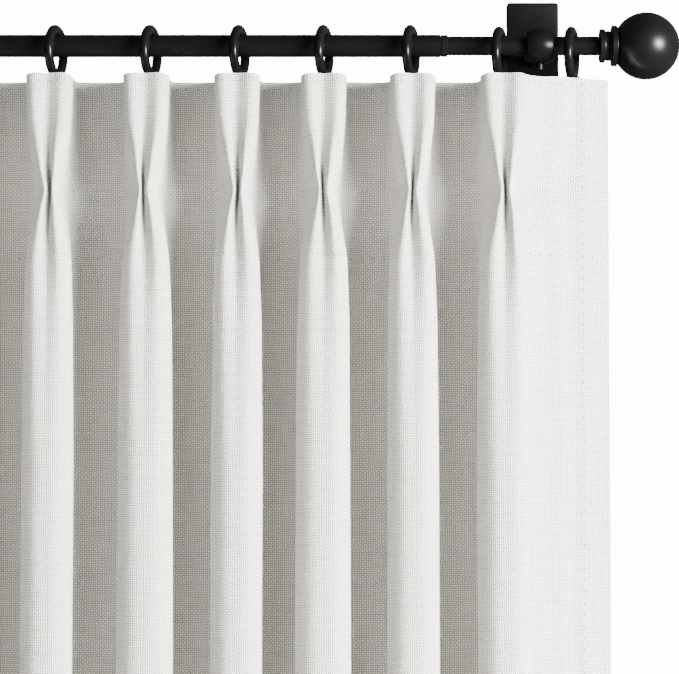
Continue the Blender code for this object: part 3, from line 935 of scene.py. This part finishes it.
def linen_material(flat_width):
    """Off-white linen-look cloth, with the pits that its seams' stitches pull into it; the gaps between its
    threads and the pits are coloured darker as painted shade.
    """
    material, tree, shader = new_material("coarse_linen")
    cloth = add_node(tree, "ShaderNodeUVMap", uv_map="cloth").outputs["UV"]
    weave = tree.nodes.new("ShaderNodeGroup")
    weave.node_tree = weave_group()
    weave.inputs["Pitch"].default_value = THREAD_PITCH
    tree.links.new(cloth, weave.inputs["Cloth"])
    parts = add_node(tree, "ShaderNodeSeparateXYZ", {"Vector": cloth})
    u, v = parts.outputs["X"], parts.outputs["Y"]
    seams = [
        pits(tree, u, v, -TOP_STITCH),
        pits(tree, u, v, -HEADER),
        pits(tree, u, v, BOTTOM_HEM - DROP),
        pits(tree, v, u, SIDE_HEM),
        pits(tree, v, u, flat_width - SIDE_HEM),
    ]
    pit_dent_and_shade = seams[0]
    for seam in seams[1:]:
        pit_dent_and_shade = maths(tree, "MAXIMUM", pit_dent_and_shade, seam)
    thread = add_node(
        tree,
        "ShaderNodeMix",
        {0: weave.outputs["Over"], 6: (0.65, 0.623, 0.557, 1.0), 7: (0.98, 0.960, 0.902, 1.0)},
        data_type="RGBA",
    )
    slub = add_node(
        tree,
        "ShaderNodeMapRange",
        {"Value": weave.outputs["Slub"], "From Min": 0.34, "From Max": 0.66, "To Min": 0.86, "To Max": 1.08},
    )
    # painted shade: the low gaps between the threads are coloured darker, as the shade that falls into them
    gap = add_node(
        tree,
        "ShaderNodeMapRange",
        {"Value": weave.outputs["Height"], "To Min": 0.16, "To Max": 1.18},
    )
    shade = maths(tree, "MULTIPLY", slub.outputs["Result"], gap.outputs["Result"])
    # painted shade: each stitch pit is coloured darker, besides the dent that the bump below gives it
    dark = maths(tree, "SUBTRACT", 1.0, maths(tree, "MULTIPLY", pit_dent_and_shade, 0.8))
    shade = maths(tree, "MULTIPLY", shade, dark)
    colour = add_node(
        tree, "ShaderNodeVectorMath", {0: thread.outputs[2], "Scale": shade}, operation="SCALE"
    )
    height = maths(tree, "ADD", weave.outputs["Height"], maths(tree, "MULTIPLY", weave.outputs["Slub"], 0.8))
    height = maths(tree, "SUBTRACT", height, maths(tree, "MULTIPLY", pit_dent_and_shade, 2.0))
    bump = add_node(tree, "ShaderNodeBump", {"Height": height, "Strength": 1.0, "Distance": 0.00075})
    tree.links.new(colour.outputs[0], shader.inputs["Base Color"])
    tree.links.new(bump.outputs["Normal"], shader.inputs["Normal"])
    shader.inputs["Roughness"].default_value = 0.93
    shader.inputs["Specular IOR Level"].default_value = 0.18
    shader.inputs["Sheen Weight"].default_value = 0.12
    shader.inputs["Sheen Roughness"].default_value = 0.5
    return material


def pit_shade_thread_material():
    material, tree, shader = new_material("sewing_thread_painted_pit_shade")
    place = add_node(tree, "ShaderNodeTexCoord").outputs["Object"]
    twist = add_node(tree, "ShaderNodeTexNoise", {"Vector": place, "Scale": 2500.0, "Detail": 1.0})
    # painted shade: the thread is coloured dark grey so that each stitch reads as the shadow in its pit; the
    # twist noise only varies that tone
    tone = add_node(
        tree,
        "ShaderNodeMix",
        {0: twist.outputs["Fac"], 6: (0.20, 0.19, 0.17, 1.0), 7: (0.32, 0.31, 0.28, 1.0)},
        data_type="RGBA",
    )
    bump = add_node(
        tree, "ShaderNodeBump", {"Height": twist.outputs["Fac"], "Strength": 0.6, "Distance": 0.0001}
    )
    tree.links.new(tone.outputs[2], shader.inputs["Base Color"])
    tree.links.new(bump.outputs["Normal"], shader.inputs["Normal"])
    shader.inputs["Roughness"].default_value = 0.7
    return material


# one stitch is a short bead of thread, lying mostly in its pit; its dark grey is painted shade of the pit
STITCH_LENGTH = 0.0024
THREAD_RADIUS = 0.00032
BEAD_SIDES = 6


def bead(place, along, outward):
    """Points and faces of one stitch, its length along the seam."""
    along = along / np.linalg.norm(along)
    side = np.cross(outward, along)
    side /= np.linalg.norm(side)
    up = np.cross(along, side)
    points = [place - along * STITCH_LENGTH / 2]
    for share in (-0.28, 0.28):
        for k in range(BEAD_SIDES):
            angle = math.tau * k / BEAD_SIDES
            ring = side * math.cos(angle) + up * math.sin(angle)
            points.append(place + along * STITCH_LENGTH * share + ring * THREAD_RADIUS)
    points.append(place + along * STITCH_LENGTH / 2)
    faces = []
    last = 2 * BEAD_SIDES + 1
    for k in range(BEAD_SIDES):
        n = (k + 1) % BEAD_SIDES
        faces.append((0, 1 + n, 1 + k))
        faces.append((1 + k, 1 + n, 1 + BEAD_SIDES + n, 1 + BEAD_SIDES + k))
        faces.append((last, 1 + BEAD_SIDES + k, 1 + BEAD_SIDES + n))
    return points, faces


TACK_COLUMN = 4 * PER_SPAN  # from the crease, the column on the pleat's side that the tack goes through
TACK_DENT = 0.0012
TACK_REACH = 0.0045
PRESSED = 0.80  # the share of its thickness that the cloth loses at a tack
PRESSED_REACH = 0.038
RIPPLE = 0.00028


def tack_points(grid, limits):
    """Row and columns of the tacks: one on either side of each pleat, at the pinch."""
    row = int(np.argmin(abs(ROWS - PINCH)))
    columns = [limit + way * TACK_COLUMN for limit in limits[1:-1] for way in (-1, 1)]
    return row, [column for column in columns if 0 < column < grid.shape[1] - 1]


def pull_tacks(grid, normals, limits):
    """The cloth with a small dent at each tack, where the thread pulls the pleat together."""
    row, columns = tack_points(grid, limits)
    pulled = grid.copy()
    for column in columns:
        away = np.linalg.norm(grid - grid[row, column], axis=2)
        pulled -= normals * (TACK_DENT * np.exp(-((away / TACK_REACH) ** 2)))[:, :, None]
    return pulled


def seam_stitches(grid, normals, flat, limits):
    """Stitches of every seam, as (strip number, points, faces)."""
    found = []
    strips = len(limits) - 1

    def add(column, place, along, outward):
        strip = min(strips - 1, max(0, int(np.searchsorted(limits, column, side="right")) - 1))
        found.append((strip, *bead(place, along, outward)))

    for height in (TOP_STITCH, HEADER, DROP - BOTTOM_HEM):
        below = int(np.searchsorted(ROWS, height))
        share = (height - ROWS[below - 1]) / (ROWS[below] - ROWS[below - 1])
        line = grid[below - 1] * (1 - share) + grid[below] * share
        facing = normals[below - 1]
        for k in range(int(flat[-1] / STITCH)):
            at = (k + 0.5) * STITCH
            column = int(np.searchsorted(flat, at))
            f = (at - flat[column - 1]) / (flat[column] - flat[column - 1])
            place = line[column - 1] * (1 - f) + line[column] * f
            add(column - 0.5, place, line[column] - line[column - 1], facing[column])
    for at in (SIDE_HEM, flat[-1] - SIDE_HEM):
        column = int(np.searchsorted(flat, at))
        f = (at - flat[column - 1]) / (flat[column] - flat[column - 1])
        line = grid[:, column - 1] * (1 - f) + grid[:, column] * f
        for k in range(int(DROP / STITCH)):
            height = (k + 0.5) * STITCH
            below = int(np.searchsorted(ROWS, height))
            g = (height - ROWS[below - 1]) / (ROWS[below] - ROWS[below - 1])
            place = line[below - 1] * (1 - g) + line[below] * g
            add(column - 0.5, place, line[below] - line[below - 1], normals[below, column])
    row, columns = tack_points(grid, limits)
    for column in columns:
        run = grid[row, column + 1] - grid[row, column - 1]
        for drop in (-0.0008, 0.0, 0.0008):
            add(column, grid[row, column] + Vector((0, 0, drop)), run, normals[row, column])
    return found


def strip_mesh(name, grid, normals, flat, first, last, thick, stitches):
    """One closed strip: its face, its back a cloth's thickness behind, and the walls between them."""
    face = grid[:, first : last + 1]
    facing = normals[:, first : last + 1]
    back = face - facing * thick[:, first : last + 1, None]
    rows, columns = face.shape[:2]
    points = [*face.reshape(-1, 3), *back.reshape(-1, 3)]
    count = rows * columns
    index = np.arange(count).reshape(rows, columns)
    flip = np.cross(face[0, 1] - face[0, 0], face[1, 0] - face[0, 0]) @ facing[0, 0] < 0
    faces = []

    def quad(a, b, c, d):
        faces.append((d, c, b, a) if flip else (a, b, c, d))

    for r in range(rows - 1):
        for c in range(columns - 1):
            a, b, d, e = index[r, c], index[r, c + 1], index[r + 1, c + 1], index[r + 1, c]
            quad(a, b, d, e)
            quad(count + e, count + d, count + b, count + a)
    cloth_faces = len(faces)
    around = [index[0, c] for c in range(columns)] + [index[r, -1] for r in range(1, rows)]
    around += [index[-1, c] for c in range(columns - 2, -1, -1)]
    around += [index[r, 0] for r in range(rows - 2, 0, -1)]
    for a, b in zip(around, around[1:] + around[:1]):
        quad(b, a, count + a, count + b)
    rim_faces = len(faces)
    for more_points, more_faces in stitches:
        base = len(points)
        points += list(more_points)
        faces += [tuple(base + i for i in f) for f in more_faces]
    mesh = bpy.data.meshes.new(name)
    mesh.from_pydata([tuple(p) for p in points], [], [tuple(int(i) for i in f) for f in faces])
    mesh.uv_layers.new(name="cloth")
    corners = np.empty(len(mesh.loops), np.int64)
    mesh.loops.foreach_get("vertex_index", corners)
    u = np.tile(flat[first : last + 1], (rows, 1)).ravel()
    v = np.repeat(-ROWS, columns)
    uv = np.zeros((len(points), 2))
    uv[:count] = uv[count : 2 * count] = np.stack((u, v), axis=1)
    mesh.uv_layers["cloth"].data.foreach_set("uv", uv[corners].astype(np.float32).ravel())
    kinds = np.zeros(len(faces), np.int32)
    kinds[rim_faces:] = 1
    mesh.polygons.foreach_set("material_index", kinds)
    mesh.polygons.foreach_set("use_smooth", np.ones(len(faces), bool))
    custom = np.zeros((len(mesh.loops), 3))
    both = np.vstack((facing.reshape(-1, 3), -facing.reshape(-1, 3)))
    cloth_corners = cloth_faces * 4
    custom[:cloth_corners] = both[corners[:cloth_corners]]
    mesh.normals_split_custom_set([tuple(n) for n in custom])
    return mesh


PIT_SHADE_THREAD = pit_shade_thread_material()
for side, sign in SIDES:
    centres = [middle_of(f"{side}_ring_{i}").x for i in range(1, 8)]
    low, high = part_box(f"{side}_return_edge")
    outer = high[0] if sign > 0 else low[0]
    low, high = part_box(f"{side}_lead_edge")
    lead = low[0] if sign > 0 else high[0]
    grid, limits = panel_surface(sign, centres, outer, lead)
    normals = surface_normals(grid, sign)
    if normals[0, 0, 1] > 0:
        normals = -normals
    grid = pull_tacks(grid, normals, limits)
    along = cloth_coordinates(grid)[None, :]
    height = ROWS[:, None]
    ripple = np.sin(70 * along + 9 * height) * np.sin(13 * height + 21 * along + sign)
    ripple = ripple + 0.6 * np.sin(130 * along - 17 * height + 2 * sign)
    grid = grid + normals * (RIPPLE * ripple * np.clip(height / 0.05, 0, 1))[:, :, None]
    flat = cloth_coordinates(grid)
    if side == "left":
        LINEN = linen_material(flat[-1])
    in_turning = (ROWS < HEADER)[:, None] | (ROWS > DROP - BOTTOM_HEM)[:, None]
    in_turning = in_turning | (flat < SIDE_HEM)[None, :] | (flat > flat[-1] - SIDE_HEM)[None, :]
    thick = CLOTH_THICK + TURNING * in_turning
    # the tack's threads press the cloth thin where it turns tightly round the two fingers
    tight = np.exp(-(((ROWS - PINCH) / PRESSED_REACH) ** 2))
    for crease in limits[1:-1]:
        near = np.clip(1.6 - abs(np.arange(grid.shape[1]) - crease) / (3 * PER_SPAN), 0, 1)
        thick = thick * (1 - PRESSED * tight[:, None] * near[None, :])
    stitches = seam_stitches(grid, normals, flat, limits)
    for i, (first, last) in enumerate(zip(limits, limits[1:])):
        a, b = STATIONS[i], STATIONS[i + 1]
        own = [(p, f) for strip, p, f in stitches if strip == i]
        name = f"{side}_cloth_{a}_to_{b}"
        strip = bpy.data.objects.new(
            name, strip_mesh(name, grid, normals, flat, first, last, thick, own)
        )
        bpy.context.scene.collection.objects.link(strip)
        strip.data.materials.append(LINEN)
        strip.data.materials.append(PIT_SHADE_THREAD)
        hung = [f"{side}_{'return_edge' if i == 0 else f'pleat_{i}'}"]
        if i == len(limits) - 2:
            hung.append(f"{side}_lead_edge")
        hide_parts(*hung)
        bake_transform(strip)


# The studio: a plain pale floor under the hems, white all round, a large soft light from the front
# right with a smaller one beside it for the gloss, a weak one from the left and one from behind.
FLOOR_DROP = 0.03
bpy.ops.mesh.primitive_plane_add(size=9, location=(0, -1.2, HEM - FLOOR_DROP))
floor = bpy.context.object
floor.name = "studio_floor"
material, tree, shader = new_material("pale_floor")
shader.inputs["Base Color"].default_value = (0.88, 0.88, 0.87, 1.0)
shader.inputs["Roughness"].default_value = 0.75
floor.data.materials.append(material)
floor.visible_glossy = False
floor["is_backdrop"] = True

world = bpy.context.scene.world or bpy.data.worlds.new("studio")
bpy.context.scene.world = world
world.use_nodes = True
tree = world.node_tree
tree.nodes.clear()
seen = add_node(tree, "ShaderNodeBackground", {"Color": (1.0, 1.0, 1.0, 1.0), "Strength": 14.0})
lit = add_node(tree, "ShaderNodeBackground", {"Color": (0.97, 0.98, 1.0, 1.0), "Strength": 0.36})
dim = add_node(tree, "ShaderNodeBackground", {"Color": (1.0, 1.0, 1.0, 1.0), "Strength": 0.10})
path = tree.nodes.new("ShaderNodeLightPath")
around = add_node(
    tree,
    "ShaderNodeMixShader",
    {0: path.outputs["Is Glossy Ray"], 1: lit.outputs[0], 2: dim.outputs[0]},
)
mix = add_node(
    tree,
    "ShaderNodeMixShader",
    {0: path.outputs["Is Camera Ray"], 1: around.outputs[0], 2: seen.outputs[0]},
)
result = tree.nodes.new("ShaderNodeOutputWorld")
tree.links.new(mix.outputs[0], result.inputs["Surface"])


# name, place, what it is aimed at, size and watts
LAMPS = (
    ("key_light", (2.72, -1.34, -0.42), (0.3, -0.1, -0.5), 1.2, 600),
    ("gloss_light", (2.24, -2.02, 0.02), (0.4, -0.09, 0.0), 0.62, 190),
    ("fill_light", (-1.6, -3.2, -0.3), (0.3, -0.1, -0.5), 1.8, 40),
    ("back_light", (0.6, 3.4, 1.2), (0.0, 0.0, -1.2), 2.4, 120),
)
for name, place, aim, size, watts in LAMPS:
    lamp = bpy.data.lights.new(name, "AREA")
    lamp.size = size
    lamp.energy = watts
    holder = bpy.data.objects.new(name, lamp)
    bpy.context.scene.collection.objects.link(holder)
    holder.location = place
    holder.rotation_euler = (Vector(aim) - Vector(place)).to_track_quat("-Z", "Y").to_euler()
    holder.visible_glossy = name == "gloss_light"

camera_data = bpy.data.cameras.new("camera")
camera_data.sensor_width = 36.0
camera_data.lens = 146.5
camera_data.clip_start = 0.05
camera_data.clip_end = 40.0
camera = bpy.data.objects.new("camera", camera_data)
bpy.context.scene.collection.objects.link(camera)
camera.location = (0.396, middle_of("outer_tube").y - 2.3, -0.392)
camera.rotation_euler = (math.radians(90 + 3.66), 0, 0)
bpy.context.scene.camera = camera

low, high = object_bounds()
